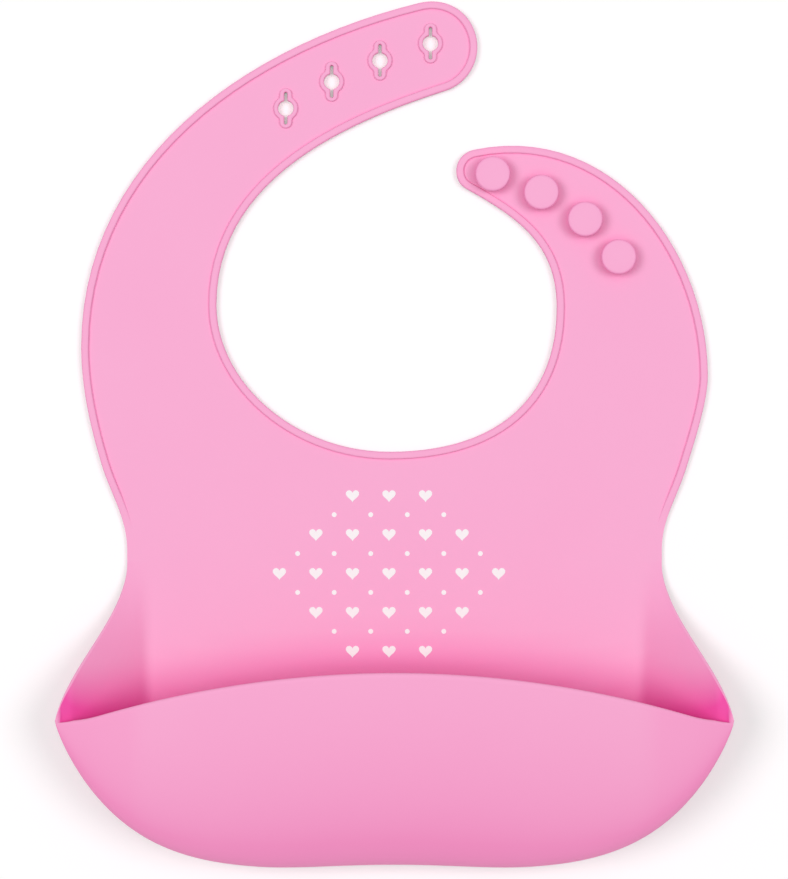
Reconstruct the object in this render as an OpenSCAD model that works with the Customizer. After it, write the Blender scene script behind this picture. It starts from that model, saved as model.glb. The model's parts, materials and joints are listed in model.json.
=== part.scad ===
// Silicone bib with a buttoned neck strap and a catch pocket, lying on its back.
// Millimetres. +Z faces the viewer, +Y runs towards the neck, +X is to the right.
// The origin is on the back of the chest, halfway between the waist fold and the neck.

/* [Chest] */
// Widest part of the body, across the shoulders
shoulder_w = 212.6; // [206:0.2:230]
// Width of the body beside the lower edge of the neck opening
chest_w = 198.6; // [190:0.2:210]
// Narrowest part of the body, at the waist
waist_w = 181.4; // [174:0.2:192]
// Height of the panel between the waist fold and the neck opening
chest_h = 30; // [26:0.5:40]
// Width of the neck opening
neck_w = 115.6; // [104:0.2:122]
// Depth of the neck opening below its widest line
neck_drop = 50; // [44:0.5:56]
// Sideways shift of the neck opening, which leaves the long strap the wider root
neck_shift = -2.7; // [-5:0.1:5]

/* [Thickness] */
// Thickness of the sheet and of the pocket walls
sheet_t = 1.5; // [1.2:0.1:2]
// Thickness of the raised border, back to front
rim_t = 2.3; // [2:0.1:3]
// Width of the raised border
rim_w = 2.7; // [2:0.1:4]

/* [Long strap with the holes] */
// Width of the strap at its round end
hole_strap_w = 31; // [28:0.2:36]
// Centre of the round end, right of the neck centre
hole_strap_x = 15.3; // [5:0.1:25]
// Centre of the round end, above the neck centre
hole_strap_y = 87.4; // [82:0.2:96]
// How far the round end leans up from level
hole_strap_lean = 17.8; // [10:0.2:28]

/* [Short strap with the buttons] */
// Width of the strap at its round end
button_strap_w = 14.4; // [12:0.2:20]
// Centre of the round end, right of the neck centre
button_strap_x = 30.9; // [26:0.1:38]
// Centre of the round end, above the neck centre
button_strap_y = 45.4; // [42:0.1:52]

/* [Fastening] */
// Distance between neighbouring holes
hole_pitch = 18; // [16.5:0.1:19]
// Distance between neighbouring buttons
button_pitch = 17.4; // [16.5:0.1:18.5]
// Bore of each hole
hole_d = 5.3; // [4.6:0.1:6]
// Length of the slot that lets a button head through the hole
slot_l = 11; // [9:0.1:12]
// Width of the slot
slot_w = 1.1; // [0.8:0.1:1.6]
// Diameter of the collar around the hole
collar_d = 8.2; // [7.6:0.1:9]
// Length of the collar along the slot
collar_l = 13.6; // [13:0.1:15]
// Width of the collar's two ears
collar_ear_w = 4.2; // [3.6:0.1:5]
// Height of the collar, back to front
collar_t = 2.4; // [2:0.1:3]
// Diameter of a button head
head_d = 11.8; // [10.5:0.1:13]
// Thickness of a button head
head_t = 2.2; // [1.6:0.1:3]
// Height of a button above the sheet
button_h = 5.4; // [4.6:0.1:7]
// Play of a button stem in its hole
stem_play = 0.3; // [0.1:0.1:0.8]

/* [Folds] */
// Distance between the folds of the long strap
hole_strap_fold_pitch = 47; // [42:0.5:50]
// Running clearance at every fold and beside the pocket front
fold_gap = 0.35; // [0.3:0.05:0.5]

/* [Pocket] */
// Width of the pocket between its upper corners
pocket_w = 225; // [218:0.5:236]
// From the waist fold to the corners of the pocket
corner_drop = 59; // [54:0.5:66]
// From the waist fold to the bottom edge of the pocket
pocket_drop = 109; // [100:0.5:116]
// How far the middle of the bottom edge is drawn in
bottom_lift = 1.3; // [0:0.1:3]
// From the waist fold to the middle of the pocket's lip
lip_drop = 43.2; // [36:0.1:50]
// How far the lip would fall from its middle to its ends if it didn't level out
lip_bow = 19.7; // [16:0.1:22]
// How far the lip's ends lie below the corners
lip_sag = 1.3; // [0:0.1:2]
// Height of the pocket mouth at its middle
mouth_h = 40; // [34:0.5:46]
// Height of the pocket corners
corner_h = 26; // [22:0.5:30]
// Height at which the bottom edge is widest
bottom_h = 18; // [14:0.5:22]
// Radius of the bend along the pocket's floor
floor_r = 18; // [14:0.5:22]
// From the middle to the crease where each wing starts to rise
crease_x = 83; // [79:0.5:86]
// Rise of the wing beyond the crease, per millimetre
wing_slope = 0.84; // [0.7:0.01:0.95]
// Width of the lip bead along the mouth
lip_w = 3; // [2:0.1:6]
// Thickness of the lip bead
lip_t = 2.1; // [1.8:0.1:3]

/* [Hidden] */
$fn = 48;

pink = [0.98, 0.68, 0.84];
rim_pink = [0.99, 0.72, 0.87];
deep_pink = [0.95, 0.58, 0.78];

far = 400;             // longer than anything that it cuts
steps = 14;            // points on each stretch of the outline
fold_z = rim_t / 2;    // height of every fold axis
barrel_r = rim_t / 2;  // round end of a piece at its fold axis
fold_y = -chest_h / 2; // the waist fold
wing_y = fold_y - 7;   // where the wings of the pocket start
neck = [neck_shift, chest_h / 2 + neck_drop];
hole_tip = neck + [hole_strap_x, hole_strap_y];
button_tip = neck + [button_strap_x, button_strap_y];

// A knot of the outline is [point, heading, handle before, handle after].
// Headings are in degrees, and handles are shares of the stretch's chord.
function dir(a) = [cos(a), sin(a)];
function lerp(a, b, t) = a + (b - a) * t;
function arc_knot(centre, r, angle, heading, before, after) =
    [centre + r * dir(angle), heading, before, after];
function on_stretch(a, b, t) =
    let (d = norm(b[0] - a[0]),
         p = a[0] + a[3] * d * dir(a[1]),
         q = b[0] - b[2] * d * dir(b[1]))
    pow(1 - t, 3) * a[0] + 3 * t * pow(1 - t, 2) * p + 3 * t * t * (1 - t) * q + pow(t, 3) * b[0];
function stretch(a, b) = [for (i = [0:steps - 1]) on_stretch(a, b, i / steps)];
function path(knots) = [for (i = [0:len(knots) - 2]) each stretch(knots[i], knots[i + 1])];

hole_r = hole_strap_w / 2;
button_r = button_strap_w / 2;
hole_strap_knots = [
    [[-shoulder_w / 2, neck[1] - 14.4], 90, 0.33, 0.38],
    arc_knot(hole_tip, hole_r, hole_strap_lean + 88, hole_strap_lean - 4, 0.38, 0.41),
    arc_knot(hole_tip, hole_r, hole_strap_lean, hole_strap_lean - 90, 0.39, 0.39),
    arc_knot(hole_tip, hole_r, hole_strap_lean - 90, hole_strap_lean - 180, 0.39, 0.31),
    [neck - [neck_w / 2, 0], -90, 0.41, 0.34]];
button_strap_knots = [
    [neck + [neck_w / 2, -1], 90, 0.42, 0.42],
    arc_knot(button_tip, button_r, 240, 151, 0.41, 0.39),
    arc_knot(button_tip, button_r, 180, 90, 0.36, 0.40),
    arc_knot(button_tip, button_r, 100, 12, 0.36, 0.42),
    [[shoulder_w / 2, neck[1] - 24.3], -90, 0.40, 0.28]];
left_side_knots = [
    [[-waist_w / 2, fold_y - 3.5], 90, 0.36, 0.36],
    [[-chest_w / 2, neck[1] - neck_drop - 4.5], 107, 0.33, 0.33],
    hole_strap_knots[0]];
neck_knots = [
    hole_strap_knots[4],
    [[neck[0] + 1, neck[1] - neck_drop], 0, 0.42, 0.48],
    button_strap_knots[0]];
right_side_knots = [
    button_strap_knots[4],
    [[chest_w / 2, neck[1] - neck_drop - 4.5], -107, 0.26, 0.41],
    [[waist_w / 2, fold_y - 3.5], -90, 0.36, 0.36]];

// The middle line of a strap, as [distance from the centre of its round end, point].
function middle_line(knots) =
    let (m = [for (i = [0:40]) (on_stretch(knots[0], knots[1], 1 - i / 40)
                                + on_stretch(knots[3], knots[4], i / 40)) / 2])
    [for (i = 0, s = 0; i <= 40; s = s + (i < 40 ? norm(m[i + 1] - m[i]) : 0), i = i + 1) [s, m[i]]];
function along(line, s) = [lookup(s, [for (p = line) [p[0], p[1][0]]]),
                           lookup(s, [for (p = line) [p[0], p[1][1]]])];
function heading(line, s) =
    let (d = along(line, s - 1) - along(line, s + 1)) atan2(d[1], d[0]);
hole_line = middle_line(hole_strap_knots);
button_line = middle_line(button_strap_knots);

// The holes and the buttons stand on bows of their own, four evenly on each.
function bow(start, span, start_heading, end_heading) =
    [[start, start_heading, 0, 0.34], [start + span, end_heading, 0.34, 0]];
hole_bow = bow(hole_tip + 1.3 * dir(hole_strap_lean + 90), 2.99 * hole_pitch * dir(204.2), 197, 214);
button_bow = bow(button_tip + [5, -1.4], 2.93 * button_pitch * dir(-33.4), -17, -59);
function hole_at(k) = on_stretch(hole_bow[0], hole_bow[1], (k - 1) / 3);
function button_at(k) = on_stretch(button_bow[0], button_bow[1], (k - 1) / 3);

// Folds across the straps, as distances from the round ends, root first.
first_button_s = 7.5;
hole_folds = [for (i = [2:-1:0]) 1.5 * hole_pitch + i * hole_strap_fold_pitch];
button_folds = [first_button_s + 3.4 * button_pitch, first_button_s + 1.5 * button_pitch];

// The pocket: u is the share of the half width, k runs from the wing (0) over
// the start (1) and end (2) of the floor bend to the lip (3).
pocket_x = pocket_w / 2;
side_x = crease_x - 5;                 // the pocket's sides begin here, and its front ends
end_u = 0.995;                         // the corners are cut off here
corner_y = fold_y - corner_drop;
bottom_y = fold_y - pocket_drop;
lip_y = fold_y - lip_drop;
front_fold_y = bottom_y + floor_r + 8; // fold between the pocket's back and its front
dome_angle = 72;                       // how far the front wall leans over at its lip
edge_turn = 80;                        // the wing's edge is this much of a sine's first quarter
function u_of(x) = min(1, abs(x) / pocket_x);
function silhouette_y(x) =
    corner_y - (corner_y - bottom_y) * pow(1 - pow(u_of(x), 4.5), 1 / 1.2)
    + bottom_lift * pow(max(0, 1 - pow(u_of(x) / 0.4, 2)), 2);
function silhouette_z(x) = bottom_h + (corner_h - bottom_h) * pow(u_of(x), 3);
// The lip falls in a bow and runs level at its ends.
function mouth_y(x) =
    let (d = lip_bow * pow(u_of(x), 2), m = lip_y - corner_y + lip_sag, s = 2)
    lip_y - (d >= m + s ? m : d <= m - s ? d : m - pow(m + s - d, 2) / (4 * s));
function mouth_z(x) = mouth_h - (mouth_h - corner_h) * pow(u_of(x), 2.4);
function edge_share(x) =
    let (v = min(1, max(0, (abs(x) - waist_w / 2) / (pocket_x - waist_w / 2))))
    asin(sqrt(v) * sin(edge_turn)) / edge_turn;
function edge_y(x) = lerp(wing_y, corner_y, edge_share(x));
function past_crease(x) =
    let (d = abs(x) - crease_x, s = crease_x - side_x)
    d >= s ? d : d <= -s ? 0 : pow(d + s, 2) / (4 * s);
function wing_z(x, y) =
    wing_slope * past_crease(x) * sin(90 * min(1, max(0, (wing_y - y) / (wing_y - corner_y))));
function bend_r(x) = 1 / (1 / (1.25 * floor_r) + 1 / (0.9 * (edge_y(x) - silhouette_y(x))));
function back_point(x, y) = [x, y, wing_z(x, y)];
function bend_point(x, a) =
    let (r = bend_r(x), b = silhouette_y(x), y = b + r * (1 - sin(a)), w = wing_z(x, y))
    [x, y, w + (silhouette_z(x) - wing_z(x, b)) * (1 - cos(a))];
function front_point(x, a) =
    let (c = cos(dome_angle), b = silhouette_y(x), m = mouth_y(x), z = silhouette_z(x))
    [x, m + (b - m) * (cos(a) - c) / (1 - c), z + (mouth_z(x) - z) * sin(a) / sin(dome_angle)];
function pocket_point(x, k) =
    k < 1 ? back_point(x, lerp(edge_y(x), silhouette_y(x) + bend_r(x), k))
    : k < 2 ? bend_point(x, 90 * (k - 1))
    : front_point(x, dome_angle * (k - 2));
// The inward normal, level with the cut where the pocket's front meets its sides.
function pocket_normal(x, k) =
    let (e = 0.01,
         a = pocket_point(x + e, k) - pocket_point(x - e, k),
         b = pocket_point(x, min(3, k + e)) - pocket_point(x, max(0, k - e)),
         m = cross(b, a),
         n = [m[0] * min(1, max(0, (abs(x) - side_x) / 10)), m[1], m[2]])
    n / norm(n);
// Walls thin out towards the corners, where they run together.
function wall_at(x) = sheet_t * min(1, 0.1 + (1 - u_of(x)) / 0.055);
function inner_point(x, k) = pocket_point(x, k) + wall_at(x) * pocket_normal(x, k);

module shell(outer, inner) {
    // A closed skin between two grids of points with the same rows and columns.
    rows = len(outer);
    cols = len(outer[0]);
    half = rows * cols;
    points = [for (g = [outer, inner]) for (row = g) each row];
    function at(i, j) = i * cols + j;
    function quad(a, b, c, d) = [[c, b, a], [d, c, a]];
    skins = [for (i = [0:rows - 2]) for (j = [0:cols - 2]) each concat(
        quad(at(i, j), at(i + 1, j), at(i + 1, j + 1), at(i, j + 1)),
        quad(half + at(i, j), half + at(i, j + 1), half + at(i + 1, j + 1), half + at(i + 1, j)))];
    ends = [for (j = [0:cols - 2]) each concat(
        quad(at(0, j), at(0, j + 1), half + at(0, j + 1), half + at(0, j)),
        quad(at(rows - 1, j + 1), at(rows - 1, j), half + at(rows - 1, j), half + at(rows - 1, j + 1)))];
    sides = [for (i = [0:rows - 2]) each concat(
        quad(at(i + 1, 0), at(i, 0), half + at(i, 0), half + at(i + 1, 0)),
        quad(at(i, cols - 1), at(i + 1, cols - 1), half + at(i + 1, cols - 1), half + at(i, cols - 1)))];
    polyhedron(points, concat(skins, ends, sides), convexity = 8);
}

module pocket_piece(xs, ks) {
    shell([for (x = xs) [for (k = ks) pocket_point(x, k)]],
          [for (x = xs) [for (k = ks) inner_point(x, k)]]);
}

module outline() {
    polygon(concat(
        path(left_side_knots), path(hole_strap_knots), path(neck_knots),
        path(button_strap_knots), path(right_side_knots),
        [[waist_w / 2, fold_y - 3.5], [waist_w / 2, wing_y],
         [-waist_w / 2, wing_y], [-waist_w / 2, fold_y - 3.5]]));
}

module hole_strap() polygon(concat(path(hole_strap_knots), [hole_strap_knots[4][0]]));

module button_strap() polygon(concat(path(button_strap_knots), [button_strap_knots[4][0]]));

module beyond(line, s, back = 0) {
    // Everything on the round end's side of a fold, from this far before its axis.
    translate(along(line, s)) rotate(heading(line, s)) translate([-back, -far / 2]) square(far);
}

module above(y) translate([-far / 2, y]) square(far);

module skin() {
    // The sheet and its raised border: the first child is cut to the second.
    linear_extrude(sheet_t) intersection() {
        children(0);
        children(1);
    }
    linear_extrude(rim_t) intersection() {
        difference() {
            children(0);
            offset(delta = -rim_w) children(0);
        }
        children(1);
    }
}

module round_end(p, angle) {
    // The half of a round rod on a fold axis that faces away from the heading.
    translate([p[0], p[1], fold_z]) rotate(angle) intersection() {
        rotate([90, 0, 0]) cylinder(r = barrel_r, h = far / 2, center = true);
        translate([-far, -far / 2, -far / 2]) cube(far);
    }
}

module strap_piece(line, from, to) {
    // One length of the strap given as the first child, less the second.
    skin() {
        children(0);
        difference() {
            beyond(line, from);
            if (to > 0) beyond(line, to, barrel_r + fold_gap);
            if ($children > 1) children(1);
        }
    }
    intersection() {
        skin() {
            children(0);
            beyond(line, from, barrel_r);
        }
        round_end(along(line, from), heading(line, from));
    }
}

module collar_shape(k) {
    translate(hole_at(k)) {
        circle(d = collar_d);
        square([collar_ear_w, collar_l - collar_ear_w], center = true);
        for (s = [-1, 1]) translate([0, s * (collar_l - collar_ear_w) / 2]) circle(d = collar_ear_w);
    }
}

module hole_collar(k) {
    color(rim_pink) difference() {
        linear_extrude(collar_t) collar_shape(k);
        translate(concat(hole_at(k), -1)) cylinder(d = hole_d, h = collar_t + 2);
        translate(concat(hole_at(k), -1)) linear_extrude(collar_t + 2)
            square([slot_w, slot_l], center = true);
    }
}

module button(k) {
    color(rim_pink) translate(concat(button_at(k), sheet_t)) {
        cylinder(d = hole_d - stem_play, h = button_h - head_t / 2);
        rotate_extrude() translate([0, button_h - head_t]) {
            square([(head_d - head_t) / 2, head_t]);
            intersection() {
                translate([(head_d - head_t) / 2, head_t / 2]) circle(d = head_t);
                square([head_d, head_t]);
            }
        }
    }
}

module chest_region() {
    // Above the waist fold and below the first fold of each strap.
    difference() {
        above(fold_y + barrel_r + fold_gap);
        intersection() {
            beyond(hole_line, hole_folds[0], barrel_r + fold_gap);
            translate([neck[0] - far, -far / 2]) square(far);
        }
        intersection() {
            beyond(button_line, button_folds[0], barrel_r + fold_gap);
            translate([neck[0], -far / 2]) square(far);
        }
    }
}

// The neck's border lies between the borders of the sides, and above their lower ends.
border_x = (neck_w + shoulder_w) / 4;

module neck_region()
    translate([-border_x, neck[1] - neck_drop - 2 * rim_w]) square([2 * border_x, far]);

module chest_border() {
    color(rim_pink) linear_extrude(rim_t) intersection() {
        difference() {
            outline();
            offset(delta = -rim_w) outline();
        }
        chest_region();
        children();
    }
}

module side_rim(side) {
    chest_border() difference() {
        translate([side < 0 ? -far : 0, -far / 2]) square(far);
        neck_region();
    }
}

module chest_panel() {
    color(pink) linear_extrude(sheet_t) intersection() {
        offset(delta = -rim_w) outline();
        chest_region();
    }
}

module neck_rim() chest_border() neck_region();

module left_side_rim() side_rim(-1);

module right_side_rim() side_rim(1);

module hole_strap_root()
    color(pink) strap_piece(hole_line, hole_folds[0], hole_folds[1]) hole_strap();

module hole_strap_middle() {
    color(pink) strap_piece(hole_line, hole_folds[1], hole_folds[2]) {
        hole_strap();
        for (k = [3, 4]) collar_shape(k);
    }
}

module hole_strap_end() {
    color(pink) strap_piece(hole_line, hole_folds[2], 0) {
        hole_strap();
        for (k = [1, 2]) collar_shape(k);
    }
}

module button_strap_root()
    color(pink) strap_piece(button_line, button_folds[0], button_folds[1]) button_strap();

module button_strap_end()
    color(pink) strap_piece(button_line, button_folds[1], 0) button_strap();

module pocket_back() {
    color(pink) {
        linear_extrude(sheet_t) {
            intersection() {
                outline();
                translate([-far / 2, wing_y]) square([far, fold_y - wing_y]);
            }
            stretch_y = front_fold_y + barrel_r + fold_gap;
            translate([-side_x, stretch_y]) square([2 * side_x, wing_y - stretch_y]);
        }
        intersection() {
            linear_extrude(sheet_t) outline();
            round_end([0, fold_y], -90);
        }
    }
}

// Stations across one side of the pocket, close together where its edge turns.
side_xs = concat([for (i = [0:3]) lerp(side_x, waist_w / 2, i / 3)],
    [for (i = [1:12]) lerp(waist_w / 2, pocket_x * end_u, pow(sin(edge_turn * i / 12) / sin(edge_turn), 2))]);
side_ks = concat([for (i = [0:6]) i / 6], [for (i = [1:5]) 1 + i / 5], [for (i = [1:8]) 2 + i / 8]);

module pocket_right_side() color(pink) pocket_piece(side_xs, side_ks);

module pocket_left_side() color(pink) mirror([1, 0, 0]) pocket_piece(side_xs, side_ks);

// Stations across the pocket's front, which swings between the two sides.
front_x = side_x - fold_gap;
front_xs = [for (i = [-9:9]) front_x * i / 9];
lip_k = 3 - 0.02 * lip_w / norm(pocket_point(0, 3) - pocket_point(0, 2.98));

module pocket_floor() {
    color(deep_pink) {
        ks = [for (i = [0:6]) 1 + i / 6];
        shell([for (x = front_xs) concat([[x, front_fold_y, 0]], [for (k = ks) pocket_point(x, k)])],
              [for (x = front_xs) concat([[x, front_fold_y, sheet_t]], [for (k = ks) inner_point(x, k)])]);
        intersection() {
            linear_extrude(sheet_t) square([2 * front_x, far], center = true);
            round_end([0, front_fold_y], -90);
        }
    }
}

module pocket_front() color(pink) pocket_piece(front_xs, [for (i = [0:8]) lerp(2, lip_k, i / 8)]);

module pocket_lip() {
    // Thicker than the wall, towards the inside.
    color(rim_pink) shell(
        [for (x = front_xs) [for (k = [lip_k, 3]) pocket_point(x, k)]],
        [for (x = front_xs) [for (k = [lip_k, 3]) pocket_point(x, k) + lip_t * pocket_normal(x, k)]]);
}

chest_panel();
neck_rim();
left_side_rim();
right_side_rim();
hole_strap_root();
hole_strap_middle();
hole_strap_end();
hole_collar(1);  // hole_collar_1
hole_collar(2);  // hole_collar_2
hole_collar(3);  // hole_collar_3
hole_collar(4);  // hole_collar_4
button_strap_root();
button_strap_end();
button(1);  // button_1
button(2);  // button_2
button(3);  // button_3
button(4);  // button_4
pocket_back();
pocket_left_side();
pocket_right_side();
pocket_floor();
pocket_front();
pocket_lip();
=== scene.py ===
import json
import math

import bmesh
import bpy
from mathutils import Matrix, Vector
from mathutils.bvhtree import BVHTree
from mathutils.geometry import interpolate_bezier
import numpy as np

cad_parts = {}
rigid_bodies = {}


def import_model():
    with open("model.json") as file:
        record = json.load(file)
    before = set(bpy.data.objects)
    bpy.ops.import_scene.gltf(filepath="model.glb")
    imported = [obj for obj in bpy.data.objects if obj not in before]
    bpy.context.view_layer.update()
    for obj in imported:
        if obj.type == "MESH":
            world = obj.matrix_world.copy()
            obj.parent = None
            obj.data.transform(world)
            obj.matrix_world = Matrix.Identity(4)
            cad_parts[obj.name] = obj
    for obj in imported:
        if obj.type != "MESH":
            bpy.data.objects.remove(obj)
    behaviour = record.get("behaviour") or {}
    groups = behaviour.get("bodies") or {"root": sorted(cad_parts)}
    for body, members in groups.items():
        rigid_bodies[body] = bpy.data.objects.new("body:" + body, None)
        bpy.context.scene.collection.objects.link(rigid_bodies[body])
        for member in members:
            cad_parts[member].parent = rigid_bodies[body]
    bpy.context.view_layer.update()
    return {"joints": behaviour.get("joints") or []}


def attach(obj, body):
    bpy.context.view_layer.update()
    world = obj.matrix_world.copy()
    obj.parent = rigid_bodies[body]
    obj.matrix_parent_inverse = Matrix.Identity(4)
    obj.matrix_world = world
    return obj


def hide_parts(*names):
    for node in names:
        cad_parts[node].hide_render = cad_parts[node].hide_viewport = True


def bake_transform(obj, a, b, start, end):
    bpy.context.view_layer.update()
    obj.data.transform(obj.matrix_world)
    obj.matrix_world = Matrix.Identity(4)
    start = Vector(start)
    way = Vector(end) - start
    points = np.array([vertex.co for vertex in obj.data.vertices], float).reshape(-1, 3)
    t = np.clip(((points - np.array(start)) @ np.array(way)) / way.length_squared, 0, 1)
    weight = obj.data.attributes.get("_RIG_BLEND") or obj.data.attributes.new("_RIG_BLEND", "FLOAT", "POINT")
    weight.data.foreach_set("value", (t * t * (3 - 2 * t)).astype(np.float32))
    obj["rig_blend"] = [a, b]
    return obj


# Blender starts with a cube, a lamp and a camera of its own.
for startupObject in list(bpy.data.objects):
    bpy.data.objects.remove(startupObject)

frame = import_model()

# Shapes are modelled in millimetres and made metres when they are finished.
millimetre = 0.001
scene = bpy.context.scene


# The camera, and the photograph's points that it is set by.
photo = {"width": 788, "height": 879}
camera = {"place": (-0.00017, 0.0192, 1.0), "lens": 120.5, "sensor": 36.0, "shift": (0.0, 0.0)}
imagePoints = {
    "leftEdge": (55, None),
    "rightEdge": (734, None),
    "topEdge": (None, 3),
    "bottomEdge": (None, 868),
    "neckBottom": (None, 452),
    "waistLeft": (126, None),
    "waistRight": (662, None),
    "leftCorner": (55, 719),
    "rightCorner": (733, 721),
    "lipMiddle": (None, 673),
    "longStrapTip": (478, 49),
    "shortStrapTip": (457, 171),
    "hole1": (431, 43),
    "hole4": (287, 108),
    "button1": (493, 173),
    "button4": (619, 257),
    "printMiddle": (389, 573),
}

cameraData = bpy.data.cameras.new("cameraAbove")
cameraData.sensor_fit = "AUTO"
cameraData.sensor_width = camera["sensor"]
cameraData.lens = camera["lens"]
cameraData.shift_x, cameraData.shift_y = camera["shift"]
cameraObject = bpy.data.objects.new("cameraAbove", cameraData)
cameraObject.location = camera["place"]
scene.collection.objects.link(cameraObject)
scene.camera = cameraObject
bpy.context.view_layer.update()
longSide = max(photo["width"], photo["height"])
focalPixels = longSide * camera["lens"] / camera["sensor"]


def placeOnSurface(point, tree):
    # Where the ray through an image point meets the surface, or the place nearest the ray.
    x, y = point
    shiftX, shiftY = camera["shift"]
    ray = Vector((x - photo["width"] / 2 + shiftX * longSide,
                  photo["height"] / 2 - y + shiftY * longSide, -focalPixels))
    start = cameraObject.matrix_world.translation
    ray = (cameraObject.matrix_world.to_3x3() @ ray).normalized()
    hit = tree.ray_cast(start, ray)[0]
    if hit is None:
        hit = tree.find_nearest(start + ray * start.z)[0]
    return hit


# Materials.
def noiseNode(tree, scale, detail, roughness, coordinates):
    noise = tree.nodes.new("ShaderNodeTexNoise")
    noise.inputs["Scale"].default_value = scale
    noise.inputs["Detail"].default_value = detail
    noise.inputs["Roughness"].default_value = roughness
    tree.links.new(coordinates, noise.inputs["Vector"])
    return noise


def buildGrainAndPaintedShade():
    # The skin that a bead-blasted mould leaves: fine grain, soft blotches and a little dust, with painted
    # shade mixed into the colour.
    group = bpy.data.node_groups.new("grainAndPaintedShade", "ShaderNodeTree")
    for name, kind, value in (("Colour", "NodeSocketColor", (1, 1, 1, 1)),
                              ("Shade And Blotch Colour", "NodeSocketColor", (1, 1, 1, 1)),
                              ("Depth", "NodeSocketFloat", 0),
                              ("Grain Scale", "NodeSocketFloat", 2600),
                              ("Blotch Scale", "NodeSocketFloat", 30),
                              ("Blotch Amount", "NodeSocketFloat", 0.5),
                              ("Roughness", "NodeSocketFloat", 0.5)):
        socket = group.interface.new_socket(name, in_out="INPUT", socket_type=kind)
        socket.default_value = value
    group.interface.new_socket("Colour", in_out="OUTPUT", socket_type="NodeSocketColor")
    group.interface.new_socket("Roughness", in_out="OUTPUT", socket_type="NodeSocketFloat")
    group.interface.new_socket("Height", in_out="OUTPUT", socket_type="NodeSocketFloat")
    nodes, links = group.nodes, group.links
    given = nodes.new("NodeGroupInput")
    result = nodes.new("NodeGroupOutput")
    coordinates = nodes.new("ShaderNodeTexCoord").outputs["Object"]

    blotches = noiseNode(group, 30, 3, 0.6, coordinates)
    links.new(given.outputs["Blotch Scale"], blotches.inputs["Scale"])
    # The painted shade is added to the blotches here, and together they mix the colour towards the darker
    # one.
    amount = nodes.new("ShaderNodeMath")
    amount.operation = "MULTIPLY_ADD"
    amount.use_clamp = True
    links.new(blotches.outputs["Fac"], amount.inputs[0])
    links.new(given.outputs["Blotch Amount"], amount.inputs[1])
    links.new(given.outputs["Depth"], amount.inputs[2])
    colour = nodes.new("ShaderNodeMix")
    colour.data_type = "RGBA"
    links.new(amount.outputs[0], colour.inputs["Factor"])
    links.new(given.outputs["Colour"], colour.inputs["A"])
    links.new(given.outputs["Shade And Blotch Colour"], colour.inputs["B"])
    links.new(colour.outputs["Result"], result.inputs["Colour"])

    spread = nodes.new("ShaderNodeMapRange")
    spread.inputs["To Min"].default_value = -0.06
    spread.inputs["To Max"].default_value = 0.06
    links.new(blotches.outputs["Fac"], spread.inputs["Value"])
    roughness = nodes.new("ShaderNodeMath")
    links.new(given.outputs["Roughness"], roughness.inputs[0])
    links.new(spread.outputs["Result"], roughness.inputs[1])
    links.new(roughness.outputs[0], result.inputs["Roughness"])

    grain = noiseNode(group, 2600, 2, 0.5, coordinates)
    links.new(given.outputs["Grain Scale"], grain.inputs["Scale"])
    links.new(grain.outputs["Fac"], result.inputs["Height"])
    return group


grainAndPaintedShade = buildGrainAndPaintedShade()


def siliconeMaterial(name, look):
    material = bpy.data.materials.new(name)
    material.use_nodes = True
    tree = material.node_tree
    shader = tree.nodes["Principled BSDF"]
    shader.inputs["Specular IOR Level"].default_value = look["gloss"]
    shader.inputs["Sheen Weight"].default_value = look["bloom"]
    shader.inputs["Sheen Roughness"].default_value = 0.6
    grain = tree.nodes.new("ShaderNodeGroup")
    grain.node_tree = grainAndPaintedShade
    # The painted shade that each vertex carries.
    depth = tree.nodes.new("ShaderNodeAttribute")
    depth.attribute_name = "depth"
    tree.links.new(depth.outputs["Fac"], grain.inputs["Depth"])
    grain.inputs["Colour"].default_value = (*look["colour"], 1)
    grain.inputs["Shade And Blotch Colour"].default_value = (*look["shadeAndBlotchColour"], 1)
    grain.inputs["Grain Scale"].default_value = look["grainScale"]
    grain.inputs["Blotch Scale"].default_value = look["blotchScale"]
    grain.inputs["Blotch Amount"].default_value = look["blotchAmount"]
    grain.inputs["Roughness"].default_value = look["roughness"]
    bump = tree.nodes.new("ShaderNodeBump")
    bump.inputs["Strength"].default_value = look["grainStrength"]
    bump.inputs["Distance"].default_value = look["grainDepth"]
    tree.links.new(grain.outputs["Colour"], shader.inputs["Base Color"])
    tree.links.new(grain.outputs["Roughness"], shader.inputs["Roughness"])
    tree.links.new(grain.outputs["Height"], bump.inputs["Height"])
    tree.links.new(bump.outputs["Normal"], shader.inputs["Normal"])
    return material


siliconeLook = {
    "colour": (0.96, 0.42, 0.665),
    # The darker pink that painted shade and the blotches mix towards.
    "shadeAndBlotchColour": (0.93, 0.08, 0.42),
    "gloss": 0.28,
    "bloom": 0.06,
    "roughness": 0.56,
    "grainScale": 2600,
    "grainStrength": 0.35,
    "grainDepth": 0.00004,
    "blotchScale": 26,
    "blotchAmount": 0.04,
}
buttonLook = dict(siliconeLook, roughness=0.5, blotchScale=120)
inkLook = {
    "colour": (0.96, 0.93, 0.94),
    "shadeAndBlotchColour": (0.93, 0.86, 0.89),
    "gloss": 0.4,
    "bloom": 0.0,
    "roughness": 0.45,
    "grainScale": 1500,
    "grainStrength": 0.5,
    "grainDepth": 0.00004,
    "blotchScale": 300,
    "blotchAmount": 0.8,
}
pinkSilicone = siliconeMaterial("pinkSilicone", siliconeLook)
buttonSilicone = siliconeMaterial("buttonSilicone", buttonLook)
whiteInk = siliconeMaterial("whiteInk", inkLook)
print("materials made")


# Helpers for shapes.
def tilt(normal):
    # 0 where a surface lies level and 1 where it stands upright.
    return math.sqrt(max(0, 1 - normal.z ** 2))


def towards(degrees):
    return Vector((math.cos(math.radians(degrees)), math.sin(math.radians(degrees)), 0))


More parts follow.
